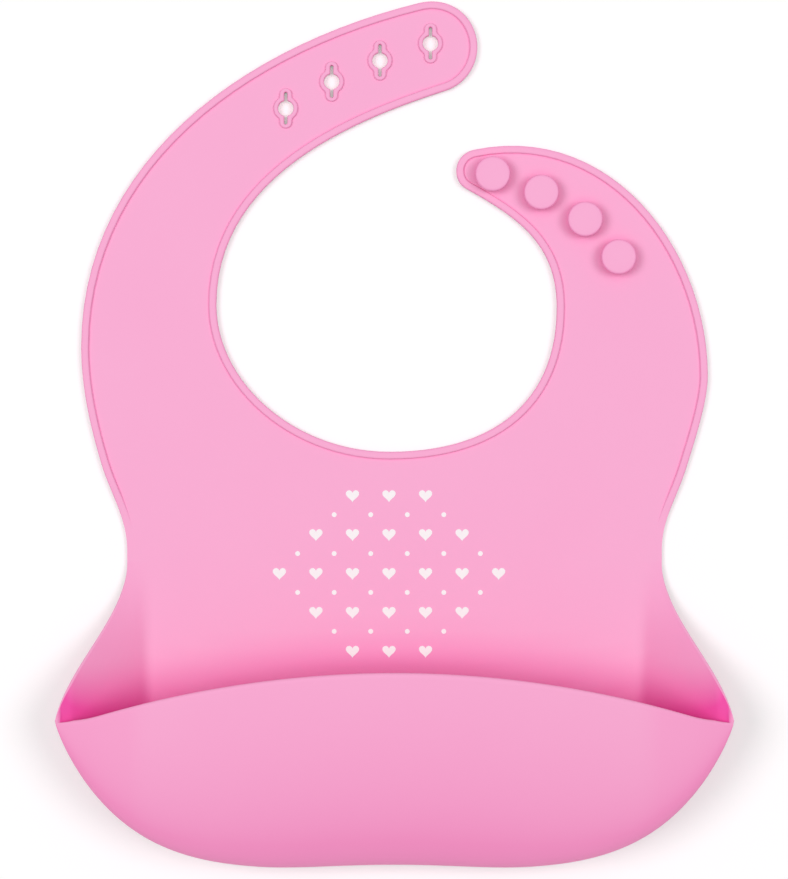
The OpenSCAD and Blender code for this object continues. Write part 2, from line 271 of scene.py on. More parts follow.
def knot(x, y, heading, before, after):
    # Handles are shares of the distance to the next knot.
    return Vector((x, y, 0)), towards(heading), before, after


def arcKnot(centre, radius, angle, heading, before, after):
    place = Vector((*centre, 0)) + radius * towards(angle)
    return place, towards(heading), before, after


def betweenKnots(a, b, count):
    chord = (b[0] - a[0]).length
    return interpolate_bezier(a[0], a[0] + a[1] * a[3] * chord,
                              b[0] - b[1] * b[2] * chord, b[0], count + 1)[:-1]


def rowOfFour(start, span, headings):
    # Four places spread evenly on a bow.
    a = start, towards(headings[0]), 0, 0.34
    b = start + span, towards(headings[1]), 0.34, 0
    return betweenKnots(a, b, 3) + [b[0]]


def edgeLoop(bm, places):
    verts = [bm.verts.new(place) for place in places]
    return [bm.edges.new(pair) for pair in zip(verts, verts[1:] + verts[:1])]


def wrappedGrid(columns, rows, placeOf):
    # A grid whose points take the place and the painted shade that placeOf(column, row)
    # gives, closed where they meet.
    bm = bmesh.new()
    depth = bm.verts.layers.float.new("depth")
    bmesh.ops.create_grid(bm, x_segments=columns - 1, y_segments=rows - 1, size=1)
    for v in bm.verts:
        column, row = (v.co.x + 1) / 2 * (columns - 1), (v.co.y + 1) / 2 * (rows - 1)
        v.co, v[depth] = placeOf(round(column), round(row))
    bmesh.ops.remove_doubles(bm, verts=bm.verts, dist=1e-4)
    bmesh.ops.recalc_face_normals(bm, faces=bm.faces)
    return bm


def newPiece(name, bm, material, sharpAngle=38):
    # Millimetres become metres, and the shading breaks only at real corners.
    bmesh.ops.scale(bm, vec=(millimetre,) * 3, verts=bm.verts)
    mesh = bpy.data.meshes.new(name)
    bm.to_mesh(mesh)
    bm.free()
    mesh.shade_smooth()
    mesh.set_sharp_from_angle(angle=math.radians(sharpAngle))
    mesh.materials.append(material)
    piece = bpy.data.objects.new(name, mesh)
    scene.collection.objects.link(piece)
    return piece


def capOn(bm, place, normal):
    # Closes the open edge that lies in a plane.
    edges = [e for e in bm.edges if e.is_boundary
             and all(abs((v.co - place).dot(normal)) < 1e-3 for v in e.verts)]
    ends = [v for v in {v for e in edges for v in e.verts}
            if sum(e in edges for e in v.link_edges) == 1]
    if len(ends) == 2:
        edges.append(bm.edges.new(ends))
    if edges:
        bmesh.ops.edgeloop_fill(bm, edges=edges)


def cutAcross(bm, place, normal, faces=None):
    faces = bm.faces if faces is None else faces
    geometry = list({g for f in faces for g in (f, *f.edges, *f.verts)})
    bmesh.ops.bisect_plane(bm, geom=geometry, dist=1e-5, plane_co=place, plane_no=normal)


def takeFaces(bm, belongs):
    # A copy that keeps only the faces for which belongs(face) is true.
    part = bm.copy()
    part.faces.ensure_lookup_table()
    others = [f for f in part.faces if not belongs(f)]
    bmesh.ops.delete(part, geom=others, context="FACES")
    return part


joints = {j["name"]: j for j in frame["joints"]}


def foldOf(name):
    # The middle of a fold in millimetres, and the direction square across it.
    joint = joints[name]
    place = Vector(joint["pos_m"]) / millimetre
    axis = Vector(joint["axis"])
    return place, Vector((axis.y, -axis.x, 0)).normalized()


def diceFold(bm, place, across, reach, step=1.0):
    # Fine strips along a fold let the sheet bend there.
    count = round(2 * reach / step)
    for i in range(count + 1):
        cutAcross(bm, place + across * (i * step - reach), across)


def blendOver(piece, parent, child, place, across, reach):
    start = (place - across * reach) * millimetre
    end = (place + across * reach) * millimetre
    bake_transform(piece, parent, child, start=start, end=end)


# The flat sheet with its border.
sheet = {
    "neck": Vector((-2.7, 65.0)),
    "neckWidth": 115.6,
    "neckDrop": 50.0,
    "shoulderWidth": 212.6,
    "chestWidth": 198.6,
    "waistWidth": 181.4,
    "waistFoldY": -15.0,
    "wingY": -22.0,
    "thickness": 1.5,
    "longTip": (12.6, 152.4),
    "longTipRadius": 15.5,
    "longTipLean": 17.8,
    "shortTip": (28.2, 110.4),
    "shortTipRadius": 7.2,
    "leftShoulderDrop": 14.4,
    "rightShoulderDrop": 24.3,
    "chestDrop": 4.5,
    "waistDrop": 3.5,
    "endY": -45.0,
    "longStrapOnlyY": 125.0,
    "pointsPerStretch": 26,
    "borderFades": (-13.0, 5.0),
    "grooveFloor": 1.1,
}
# The border from the outside inwards, as (distance in from the edge, height, painted shade), the shade on
# the outer edge and in the groove.
borderProfile = [
    (0.0, 1.72, 0.3), (0.05, 1.96, 0.25), (0.2, 2.17, 0.15), (0.42, 2.28, 0.05), (0.7, 2.31, 0.02),
    (1.3, 2.32, 0.0), (1.9, 2.31, 0.0), (2.2, 2.27, 0.03), (2.36, 2.14, 0.03), (2.44, 1.9, 0.06),
    (2.5, 1.55, 0.1), (2.56, 1.38, 0.12), (2.66, 1.34, 0.1), (2.78, 1.4, 0.05), (2.94, 1.47, 0.02),
    (3.2, 1.5, 0.0), (4.6, 1.5, 0.0)]
# The underside's rounded edge, as (distance in, height, painted shade where it turns).
backProfile = [
    (0.0, 0.45, 0.2), (0.08, 0.2, 0.1), (0.25, 0.05, 0.0), (0.5, 0.0, 0.0), (1.5, 0.0, 0.0)]

neckX, neckY = sheet["neck"]
lean = sheet["longTipLean"]
longKnots = [
    knot(-sheet["shoulderWidth"] / 2, neckY - sheet["leftShoulderDrop"], 90, 0.33, 0.38),
    arcKnot(sheet["longTip"], sheet["longTipRadius"], lean + 88, lean - 4, 0.38, 0.41),
    arcKnot(sheet["longTip"], sheet["longTipRadius"], lean, lean - 90, 0.39, 0.39),
    arcKnot(sheet["longTip"], sheet["longTipRadius"], lean - 90, lean - 180, 0.39, 0.31),
    knot(neckX - sheet["neckWidth"] / 2, neckY, -90, 0.41, 0.34)]
shortKnots = [
    knot(neckX + sheet["neckWidth"] / 2, neckY - 1, 90, 0.42, 0.42),
    arcKnot(sheet["shortTip"], sheet["shortTipRadius"], 240, 151, 0.41, 0.39),
    arcKnot(sheet["shortTip"], sheet["shortTipRadius"], 180, 90, 0.36, 0.40),
    arcKnot(sheet["shortTip"], sheet["shortTipRadius"], 100, 12, 0.36, 0.42),
    knot(sheet["shoulderWidth"] / 2, neckY - sheet["rightShoulderDrop"], -90, 0.40, 0.28)]
chestY = neckY - sheet["neckDrop"] - sheet["chestDrop"]
waistY = sheet["waistFoldY"] - sheet["waistDrop"]
outlineKnots = ([knot(-sheet["waistWidth"] / 2, waistY, 90, 0.36, 0.36),
                 knot(-sheet["chestWidth"] / 2, chestY, 107, 0.33, 0.33)]
                + longKnots
                + [knot(neckX + 1, neckY - sheet["neckDrop"], 0, 0.42, 0.48)]
                + shortKnots
                + [knot(sheet["chestWidth"] / 2, chestY, -107, 0.26, 0.41),
                   knot(sheet["waistWidth"] / 2, waistY, -90, 0.36, 0.36)])


def sheetOutline():
    places = []
    for a, b in zip(outlineKnots, outlineKnots[1:]):
        places += betweenKnots(a, b, sheet["pointsPerStretch"])
    # Straight on below the waist, where the pocket takes over.
    edge = sheet["waistWidth"] / 2
    places += [Vector((edge, waistY, 0)), Vector((edge, sheet["endY"], 0)),
               Vector((-edge, sheet["endY"], 0))]
    return places


def sweepInwards(bm, face, profile, side):
    # Each ring takes the painted shade that the profile gives it.
    depth = bm.verts.layers.float["depth"]
    for v in face.verts:
        v[depth] = profile[0][2]
    for (inNow, heightNow, _), (inNext, heightNext, deep) in zip(profile, profile[1:]):
        bmesh.ops.inset_region(bm, faces=[face], thickness=inNext - inNow, use_even_offset=True,
                               depth=side * (heightNext - heightNow))
        for v in face.verts:
            v[depth] = deep


def borderShare(y):
    low, high = sheet["borderFades"]
    t = min(1, max(0, (y - low) / (high - low)))
    return t * t * (3 - 2 * t)


def buildSheet():
    bm = bmesh.new()
    depth = bm.verts.layers.float.new("depth")
    back = bmesh.ops.contextual_create(bm, geom=edgeLoop(bm, sheetOutline()))["faces"][0]
    back.normal_update()
    if back.normal.z > 0:
        back.normal_flip()
    bmesh.ops.translate(bm, vec=(0, 0, backProfile[0][1]), verts=bm.verts)
    front = bmesh.ops.extrude_face_region(bm, geom=[back], use_keep_orig=True)
    topVerts = [g for g in front["geom"] if isinstance(g, bmesh.types.BMVert)]
    topFace = [g for g in front["geom"] if isinstance(g, bmesh.types.BMFace)][0]
    bmesh.ops.translate(bm, vec=(0, 0, borderProfile[0][1] - backProfile[0][1]), verts=topVerts)
    bmesh.ops.recalc_face_normals(bm, faces=bm.faces)
    sweepInwards(bm, topFace, borderProfile, 1)
    sweepInwards(bm, back, backProfile, -1)
    # The border sinks into the sheet towards the waist, and its painted shade fades with it.
    flat = sheet["thickness"]
    for v in bm.verts:
        if v.co.z > flat:
            v.co.z = flat + (v.co.z - flat) * borderShare(v.co.y)
        elif sheet["grooveFloor"] < v.co.z < flat:
            v.co.z = flat - (flat - v.co.z) * borderShare(v.co.y)
        v[depth] *= borderShare(v.co.y)
    return bm


# The strap holes and their collars.
strapHoles = {
    "pitch": 18.0,
    "bore": 5.3,
    "slotLength": 11.0,
    "slotWidth": 1.1,
    "collarDiameter": 8.2,
    "collarLength": 13.6,
    "earWidth": 4.2,
    "collarFillet": 11,
    "boreFillet": 4,
    "points": 7,
    "cutHeight": 5.0,
    "bowLift": 1.3,
    "bowPitches": 2.99,
    "bowTurn": 204.2,
    "bowHeadings": (197, 214),
}
# The collar from the foot of its outer wall over the top into the hole, as (share of the way
# from the outer to the inner outline, height, painted shade at the foot and in the hole).
collarProfile = [
    (0.0, 1.38, 0.5), (0.0, 1.7, 0.4), (0.02, 2.05, 0.25), (0.08, 2.25, 0.1), (0.2, 2.36, 0.02),
    (0.38, 2.4, 0.0), (0.62, 2.4, 0.0), (0.84, 2.36, 0.02), (0.95, 2.22, 0.1), (1.0, 2.0, 0.25),
    (1.0, 0.3, 0.3), (0.94, 0.1, 0.1), (0.8, 0.0, 0.0), (0.5, 0.0, 0.0), (0.5, 1.38, 0.0)]


def keyholeOutline(radius, length, width, fillet):
    # A round hole with an ear above and below; one quarter is mirrored into the other three.
    # The fillet between them is in degrees round the hole.
    half, top = width / 2, length / 2
    meet = math.degrees(math.acos(half / radius))
    start = radius * towards(meet - fillet)
    quarter = [knot(0, top, 0, 0.39, 0.39), knot(half, top - half, -90, 0.39, 0.33),
               knot(half, radius * math.sin(math.radians(meet)) + radius * math.radians(fillet),
                    -90, 0.33, 0.4),
               (start, towards(meet - fillet - 90), 0.4, 0.37), knot(radius, 0, -90, 0.37, 0)]
    places = []
    for a, b in zip(quarter, quarter[1:]):
        places += betweenKnots(a, b, strapHoles["points"])
    places.append(Vector((radius, 0, 0)))
    lower = [Vector((p.x, -p.y, 0)) for p in reversed(places[:-1])]
    right = places + lower
    left = [Vector((-p.x, p.y, 0)) for p in reversed(right[1:-1])]
    return right + left


collarOuter = keyholeOutline(strapHoles["collarDiameter"] / 2, strapHoles["collarLength"],
                             strapHoles["earWidth"], strapHoles["collarFillet"])
collarInner = keyholeOutline(strapHoles["bore"] / 2, strapHoles["slotLength"],
                             strapHoles["slotWidth"], strapHoles["boreFillet"])
longTip = Vector((*sheet["longTip"], 0))
holeSpan = strapHoles["bowPitches"] * strapHoles["pitch"] * towards(strapHoles["bowTurn"])
holePlaces = rowOfFour(longTip + strapHoles["bowLift"] * towards(lean + 90), holeSpan,
                       strapHoles["bowHeadings"])


def collarLoop(share, height, place):
    return [Vector((*a.lerp(b, share).xy, height)) + place
            for a, b in zip(collarOuter, collarInner)]


def buildCollar(place):
    profile = collarProfile + collarProfile[:1]
    loops = [collarLoop(share, height, place) for share, height, _ in profile]

    def placeOf(column, row):
        return loops[row][column % len(collarOuter)], profile[row][2]

    return wrappedGrid(len(collarOuter) + 1, len(profile), placeOf)


def buildHoleCutters():
    bm = bmesh.new()
    for place in holePlaces:
        loop = edgeLoop(bm, collarLoop(0.5, -1, place))
        bottom = bmesh.ops.contextual_create(bm, geom=loop)["faces"]
        top = bmesh.ops.extrude_face_region(bm, geom=bottom, use_keep_orig=True)["geom"]
        bmesh.ops.translate(bm, vec=(0, 0, strapHoles["cutHeight"]),
                            verts=[g for g in top if isinstance(g, bmesh.types.BMVert)])
    bmesh.ops.recalc_face_normals(bm, faces=bm.faces)
    return bm


def plainObject(name, bm):
    mesh = bpy.data.meshes.new(name)
    bm.to_mesh(mesh)
    bm.free()
    shape = bpy.data.objects.new(name, mesh)
    scene.collection.objects.link(shape)
    return shape


def cutHoles(sheetShape, cutters):
    # A Boolean cut, taken over into the mesh.
    whole = plainObject("wholeSheet", sheetShape)
    cutter = plainObject("holeCutters", cutters)
    boolean = whole.modifiers.new("holes", "BOOLEAN")
    boolean.operation = "DIFFERENCE"
    boolean.solver = "EXACT"
    boolean.object = cutter
    bpy.context.view_layer.update()
    result = bmesh.new()
    result.from_object(whole, bpy.context.evaluated_depsgraph_get())
    for shape in (whole, cutter):
        bpy.data.objects.remove(shape)
    return result


# The buttons, and the shade under their heads.
button = {
    "pitch": 17.4,
    "headRadius": 5.9,
    "steps": 64,
    # Painted shade on the buttons' upright sides.
    "sideShade": 0.3,
    "shadeReach": 2.8,
    "shadeDepth": 0.2,
    "shadeStep": 1.3,
    "bowStart": (5.0, -1.4),
    "bowPitches": 2.93,
    "bowTurn": -33.4,
    "bowHeadings": (-17, -59),
}
shortTip = Vector((*sheet["shortTip"], 0))
buttonSpan = button["bowPitches"] * button["pitch"] * towards(button["bowTurn"])
buttonPlaces = rowOfFour(shortTip + Vector((*button["bowStart"], 0)), buttonSpan,
                         button["bowHeadings"])


def topFaces(bm):
    flat = sheet["thickness"]
    return [f for f in bm.faces if all(abs(v.co.z - flat) < 0.01 for v in f.verts)]


def shadeUnderButtons(bm):
    # A fine grid on the top of the sheet carries a painted shadow round each foot.
    reach = button["headRadius"] + button["shadeReach"]
    step = button["shadeStep"]
    for axis in (0, 1):
        across = Vector((1 - axis, axis, 0))
        low = min(p[axis] for p in buttonPlaces) - reach
        high = max(p[axis] for p in buttonPlaces) + reach
        for i in range(math.ceil((high - low) / step) + 1):
            cutAcross(bm, across * (low + i * step), across, faces=topFaces(bm))
    depth = bm.verts.layers.float["depth"]
    for v in {v for f in topFaces(bm) for v in f.verts}:
        away = min((v.co.xy - p.xy).length for p in buttonPlaces) - button["headRadius"]
        t = min(1, max(0, 1 - away / button["shadeReach"]))
        v[depth] = max(v[depth], button["shadeDepth"] * t * t * (3 - 2 * t))


# The sheet is parted where no fold bends it.
partings = {"beforeFold": 11.0, "shortBeforeFold": 8.0, "reach": 8.5, "shortReach": 5.5,
            "waistReach": 7.0}
foldNames = {"long": ["hole_strap_curl", "hole_strap_curl_middle", "hole_strap_curl_end"],
             "short": ["button_strap_curl", "button_strap_curl_end"]}
folds = {side: [foldOf(name) for name in names] for side, names in foldNames.items()}


def partingPlanes(side, before):
    # One before the first fold, then one halfway between each pair.
    place, across = folds[side][0]
    planes = [(place - across * before, across)]
    for (a, acrossA), (b, acrossB) in zip(folds[side], folds[side][1:]):
        planes.append(((a + b) / 2, (acrossA + acrossB).normalized()))
    return planes


planes = {"long": partingPlanes("long", partings["beforeFold"]),
          "short": partingPlanes("short", partings["shortBeforeFold"])}


def stretchOf(place):
    # Which strap a place is on, and how many partings lie before it.
    side = "long" if place.x < neckX or place.y > sheet["longStrapOnlyY"] else "short"
    passed = 0
    for start, across in planes[side]:
        if (place - start).dot(across) <= 0:
            break
        passed += 1
    return (side, passed) if passed else ("chest", 0)


whole = cutHoles(buildSheet(), buildHoleCutters())
waistCut = Vector((0, sheet["wingY"], 0)), Vector((0, -1, 0))
for place, across in planes["long"] + planes["short"] + [waistCut]:
    cutAcross(whole, place, across)
print("sheet built,", len(whole.faces), "faces")

strapBodies = {"long": ["chest", "hole_strap_1", "hole_strap_2", "hole_strap_3"],
               "short": ["chest", "button_strap_1", "button_strap_2"]}
strapNodes = {"long": ["hole_strap_root", "hole_strap_middle", "hole_strap_end"],
              "short": ["button_strap_root", "button_strap_end"]}
pieceNames = {"long": ["longStrapRoot", "longStrapMiddle", "longStrapEnd"],
              "short": ["shortStrapRoot", "shortStrapEnd"]}

chestShape = takeFaces(whole, lambda f: stretchOf(f.calc_center_median())[0] == "chest"
                       and f.calc_center_median().y > sheet["wingY"])
capOn(chestShape, *planes["long"][0])
capOn(chestShape, *planes["short"][0])
capOn(chestShape, *waistCut)
waistPlace, waistAcross = Vector((0, sheet["waistFoldY"], 0)), Vector((0, -1, 0))
diceFold(chestShape, waistPlace, waistAcross, partings["waistReach"])
chestSheet = newPiece("chestSheet", chestShape, pinkSilicone)
blendOver(chestSheet, "chest", "pocket", waistPlace, waistAcross, partings["waistReach"])
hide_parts("chest_panel", "neck_rim", "left_side_rim", "right_side_rim")

for side, names in pieceNames.items():
    reach = partings["reach"] if side == "long" else partings["shortReach"]
    for i, name in enumerate(names):
        shape = takeFaces(whole, lambda f: stretchOf(f.calc_center_median()) == (side, i + 1))
        for place, across in planes[side][i:i + 2]:
            capOn(shape, place, across)
        if side == "short":
            shadeUnderButtons(shape)
        diceFold(shape, *folds[side][i], reach)
        piece = newPiece(name, shape, pinkSilicone)
        blendOver(piece, *strapBodies[side][i:i + 2], *folds[side][i], reach)
        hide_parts(strapNodes[side][i])
whole.free()

for number, place in enumerate(holePlaces, 1):
    fold = 2 if number < 4 else 1
    shape = buildCollar(place)
    diceFold(shape, *folds["long"][fold], partings["reach"])
    collar = newPiece("holeCollar%d" % number, shape, pinkSilicone)
    blendOver(collar, *strapBodies["long"][fold:fold + 2], *folds["long"][fold], partings["reach"])
    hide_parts("hole_collar_%d" % number)
print("hole collars made")


# Half of a mushroom button from the foot of its stem to the middle of its head.
buttonProfile = [
    (0.0, 1.2), (3.5, 1.3), (3.2, 1.52), (2.8, 1.7), (2.58, 2.0), (2.5, 2.5), (2.5, 4.1),
    (2.58, 4.4), (2.8, 4.6), (3.2, 4.7), (5.0, 4.72), (5.45, 4.8), (5.76, 5.05), (5.9, 5.4),
    (5.9, 6.2), (5.84, 6.5), (5.66, 6.74), (5.4, 6.86), (5.0, 6.9), (3.0, 6.9), (0.0, 6.9)]


def buildButton(place):
    bm = bmesh.new()
    verts = [bm.verts.new((radius, 0, height)) for radius, height in buttonProfile]
    edges = [bm.edges.new(pair) for pair in zip(verts, verts[1:])]
    bmesh.ops.spin(bm, geom=verts + edges, cent=(0, 0, 0), axis=(0, 0, 1), dvec=(0, 0, 0),
                   angle=2 * math.pi, steps=button["steps"], use_merge=True)
    bmesh.ops.remove_doubles(bm, verts=bm.verts, dist=1e-4)
    bmesh.ops.recalc_face_normals(bm, faces=bm.faces)
    bmesh.ops.translate(bm, vec=place, verts=bm.verts)
    bm.normal_update()
    depth = bm.verts.layers.float.new("depth")
    # Painted shade, darker where the button's side stands upright.
    for v in bm.verts:
        v[depth] = button["sideShade"] * tilt(v.normal)
    return bm


for number, place in enumerate(buttonPlaces, 1):
    piece = newPiece("mushroomButton%d" % number, buildButton(place), buttonSilicone)
    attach(piece, "button_strap_2" if number < 3 else "button_strap_1")
    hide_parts("button_%d" % number)
print("buttons made")


# The pocket.
pocket = {
    "halfWidth": 112.5,
    "halfWaist": sheet["waistWidth"] / 2,
    "wingY": sheet["wingY"],
    "cornerY": -74.0,
    "bottomY": -124.0,
    "bottomPower": 4.5,
    "cornerPower": 1.2,
    "bottomLift": 1.3,
    "liftWidth": 0.4,
    "lipY": -58.2,
    "lipBow": 19.7,
    "lipSag": 1.0,
    "mouthHeight": 40.0,
    "mouthPower": 2.4,
    "cornerHeight": 26.0,
    "bottomHeight": 18.0,
    "heightPower": 3,
    "floorRadius": 18.0,
    "floorEase": 1.25,
    "floorRoom": 0.9,
    "creaseX": 84.2,
    "creaseSoft": 2.4,
    "sideX": 78.0,
    "slantEase": 10.0,
    "wingSlope": 0.9,
    "domeAngle": 72.0,
    "edgeTurn": 80.0,
    "foldY": -98.0,
    "frontZ": 3.0,
    "wall": 1.5,
    "wallShare": 0.42,
    "bulgeEase": 1.5,
    "lip": 2.1,
    "lipStart": 2.96,
    # Painted shade on the turned-away wall, the wings, below the lip and in the corners, and a painted
    # highlight along the thin edges.
    "wallShade": 0.79,
    "wallShadeMost": 0.36,
    "wingShade": 0.31,
    "lipShade": 0.53,
    "lipShadeReach": 15.5,
    "lipShadePower": 1.3,
    "cornerShade": 0.83,
    "cornerShadeReachMore": 0.4,
    "cornerShadePower": 7,
    "edgeHighlight": 0.85,
    "edgeBand": 0.012,
    "cornerWall": 1.5,
    "cornerReach": 8.0,
    "tipHeight": 25.4,
    "tongueSteps": ((0.25, 0.88), (0.25, 0.82)),
}


def widthShare(x):
    return min(1, abs(x) / pocket["halfWidth"])


def silhouetteY(x):
    u = widthShare(x)
    bow = (1 - u ** pocket["bottomPower"]) ** (1 / pocket["cornerPower"])
    return (pocket["cornerY"] - (pocket["cornerY"] - pocket["bottomY"]) * bow
            + pocket["bottomLift"] * max(0, 1 - (u / pocket["liftWidth"]) ** 2) ** 2)


def silhouetteZ(x):
    return (pocket["bottomHeight"]
            + (pocket["cornerHeight"] - pocket["bottomHeight"])
            * widthShare(x) ** pocket["heightPower"])


def mouthY(x):
    # A bow that runs level at its ends, just below the corners.
    drop = pocket["lipBow"] * widthShare(x) ** 2
    most = pocket["lipY"] - pocket["cornerY"] + pocket["lipSag"]
    if drop > most - 2:
        drop = most - max(0, most + 2 - drop) ** 2 / 8
    return max(pocket["lipY"] - drop, silhouetteY(x))


def mouthZ(x):
    return (pocket["mouthHeight"]
            - (pocket["mouthHeight"] - pocket["cornerHeight"])
            * widthShare(x) ** pocket["mouthPower"])


def edgeY(x):
    v = (abs(x) - pocket["halfWaist"]) / (pocket["halfWidth"] - pocket["halfWaist"])
    v = min(1, max(0, v))
    turn = math.radians(pocket["edgeTurn"])
    share = math.asin(math.sqrt(v) * math.sin(turn)) / turn
    return pocket["wingY"] + (pocket["cornerY"] - pocket["wingY"]) * share


def wingZ(x, y):
    soft = pocket["creaseSoft"]
    past = abs(x) - pocket["creaseX"]
    if past < soft:
        past = max(0, past + soft) ** 2 / (4 * soft)
    fall = (pocket["wingY"] - y) / (pocket["wingY"] - pocket["cornerY"])
    return pocket["wingSlope"] * past * math.sin(math.pi / 2 * min(1, max(0, fall)))


def bendRadius(x):
    room = max(1e-3, pocket["floorRoom"] * (edgeY(x) - silhouetteY(x)))
    return 1 / (1 / (pocket["floorEase"] * pocket["floorRadius"]) + 1 / room)


def pocketPoint(x, k):
    # k runs from the wing's edge (0) over the floor's bend (1 to 2) to the lip (3).
    bottomY, bottomZ = silhouetteY(x), silhouetteZ(x)
    if k < 1:
        y = edgeY(x) + (bottomY + bendRadius(x) - edgeY(x)) * k
        return Vector((x, y, wingZ(x, y)))
    if k < 2:
        angle = math.pi / 2 * (k - 1)
        y = bottomY + bendRadius(x) * (1 - math.sin(angle))
        wing = wingZ(x, y)
        return Vector((x, y, wing + (bottomZ - wingZ(x, bottomY)) * (1 - math.cos(angle))))
    dome = math.radians(pocket["domeAngle"])
    angle = dome * (k - 2)
    share = (math.cos(angle) - math.cos(dome)) / (1 - math.cos(dome))
    return Vector((x, mouthY(x) + (bottomY - mouthY(x)) * share,
                   bottomZ + (mouthZ(x) - bottomZ) * math.sin(angle) / math.sin(dome)))


def inwards(x, k):
    # The direction into the pocket, which has no slant in the middle, and the one along k.
    step = 0.01
    x = min(abs(x), pocket["halfWidth"] - 2 * step) * (1 if x >= 0 else -1)
    alongX = pocketPoint(x + step, k) - pocketPoint(x - step, k)
    alongK = pocketPoint(x, min(3, k + step)) - pocketPoint(x, max(0, k - step))
    normal = alongK.cross(alongX)
    normal.x *= min(1, max(0, (abs(x) - pocket["sideX"]) / pocket["slantEase"]))
    return normal.normalized(), alongK.normalized()


def pocketColumns():
    # Close together where the wing's edge turns.
    half = [pocket["sideX"] * i / 26 for i in range(26)]
    half += [pocket["sideX"] + (pocket["halfWaist"] - pocket["sideX"]) * i / 14 for i in range(14)]
    span = pocket["halfWidth"] - pocket["halfWaist"]
    turn = math.radians(pocket["edgeTurn"])
    half += [pocket["halfWaist"] + span * (math.sin(turn * i / 30) / math.sin(turn)) ** 2
             for i in range(31)]
    return [-x for x in reversed(half[1:])] + half


def pocketRows():
    # Once round the wall: k, the share from outside to inside, the bulge past the edge, and
    # how much painted highlight the edge gets.
    lipStart = pocket["lipStart"]
    ks = [pocket["edgeBand"]] + [i / 14 for i in range(1, 14)] + [1 + i / 12 for i in range(12)]
    ks += [2 + (lipStart - 2) * i / 22 for i in range(22)]
    ks += [lipStart + (3 - lipStart) * i / 5 for i in range(5)]
    rows = [(0.0, 0.0, 0.0, 0.6)] + [(k, 0.0, 0.0, 0.0) for k in ks]
    for i in range(9):
        turn = math.pi * i / 8
        rows.append((3.0, (1 - math.cos(turn)) / 2, math.sin(turn), math.sin(turn)))
    rows += [(k, 1.0, 0.0, 0.0) for k in reversed(ks)]
    for i in range(7):
        turn = math.pi * i / 6
        rows.append((0.0, (1 + math.cos(turn)) / 2, -math.sin(turn), 1.0 if i < 6 else 0.6))
    return rows


def paintedShade(x, k, share, light):
    # Painted shade: darker where the wall curves away from the light, and inside towards the lip
    # and the corners, where shade falls; the thin edges get a painted highlight.
    place, (normal, _) = pocketPoint(x, k), inwards(x, k)
    outside = min(pocket["wallShadeMost"], pocket["wallShade"] * tilt(normal))
    corner = widthShare(x) ** pocket["cornerShadePower"]
    reach = pocket["lipShadeReach"] * (1 + pocket["cornerShadeReachMore"] * corner)
    below = min(1, max(0, 1 - (place.y - mouthY(x)) / reach)) ** pocket["lipShadePower"]
    most = pocket["lipShade"] + pocket["cornerShade"] * corner
    inside = min(1, pocket["wingShade"] * tilt(normal) + most * below)
    return (outside + (inside - outside) * share) * (1 - pocket["edgeHighlight"] * light)


def pocketVertex(x, k, share, bulge):
    # The corners are solid: the hollow draws in towards its ends.
    start = pocket["halfWidth"] - pocket["cornerReach"]
    t = max(0, abs(x) - start) / pocket["cornerReach"]
    hollowX = math.copysign(abs(x) - pocket["cornerWall"] * t ** 2, x)
    normal, along = inwards(hollowX, k)
    gap = (pocketPoint(hollowX, 0) - pocketPoint(hollowX, 3)).length
    room = silhouetteZ(hollowX) - wingZ(hollowX, silhouetteY(hollowX))
    lip = min(1, max(0, (k - pocket["lipStart"]) / (3 - pocket["lipStart"]) * 2))
    wall = min(pocket["wall"] + (pocket["lip"] - pocket["wall"]) * lip,
               pocket["wallShare"] * gap, pocket["wallShare"] * room)
    if bulge < 0:
        bulge *= min(1, max(0, (abs(x) - pocket["halfWaist"]) / pocket["bulgeEase"]))
    outside = pocketPoint(x, k)
    if abs(x) >= pocket["halfWidth"]:
        outside = Vector((x, pocket["cornerY"], pocket["tipHeight"]))
    inside = pocketPoint(hollowX, k) + normal * wall
    return outside.lerp(inside, share) + along * (bulge * wall / 2)


def buildPocket():
    columns, rows = pocketColumns(), pocketRows()

    def placeOf(column, row):
        k, share, bulge, light = rows[row]
        x = columns[column]
        return pocketVertex(x, k, share, bulge), paintedShade(x, k, share, light)

    bm = wrappedGrid(len(columns), len(rows), placeOf)
    ends = [e for e in bm.edges if e.is_boundary]
    bmesh.ops.holes_fill(bm, edges=ends)
    bmesh.ops.recalc_face_normals(bm, faces=bm.faces)
    print("pocket ends closed,", len(ends), "edges")
    return bm


def addTongue(bm, place, normal):
    # A rounded end under the front's floor, which fills the fold as it opens.
    tongue = [f for f in bm.faces if all(abs((v.co - place).dot(normal)) < 1e-3 for v in f.verts)]
    for length, height in pocket["tongueSteps"]:
        made = bmesh.ops.extrude_face_region(bm, geom=tongue)["geom"]
        bmesh.ops.delete(bm, geom=tongue, context="FACES_ONLY")
        tongue = [g for g in made if isinstance(g, bmesh.types.BMFace)]
        for v in {v for f in tongue for v in f.verts}:
            v.co -= normal * length
            v.co.z += (1 - height) * (pocket["wall"] / 2 - v.co.z)
    bmesh.ops.recalc_face_normals(bm, faces=bm.faces)


def isFront(face):
    centre = face.calc_center_median()
    forward = centre.y < pocket["foldY"] or centre.z > pocket["frontZ"]
    return forward and abs(centre.x) < pocket["sideX"]


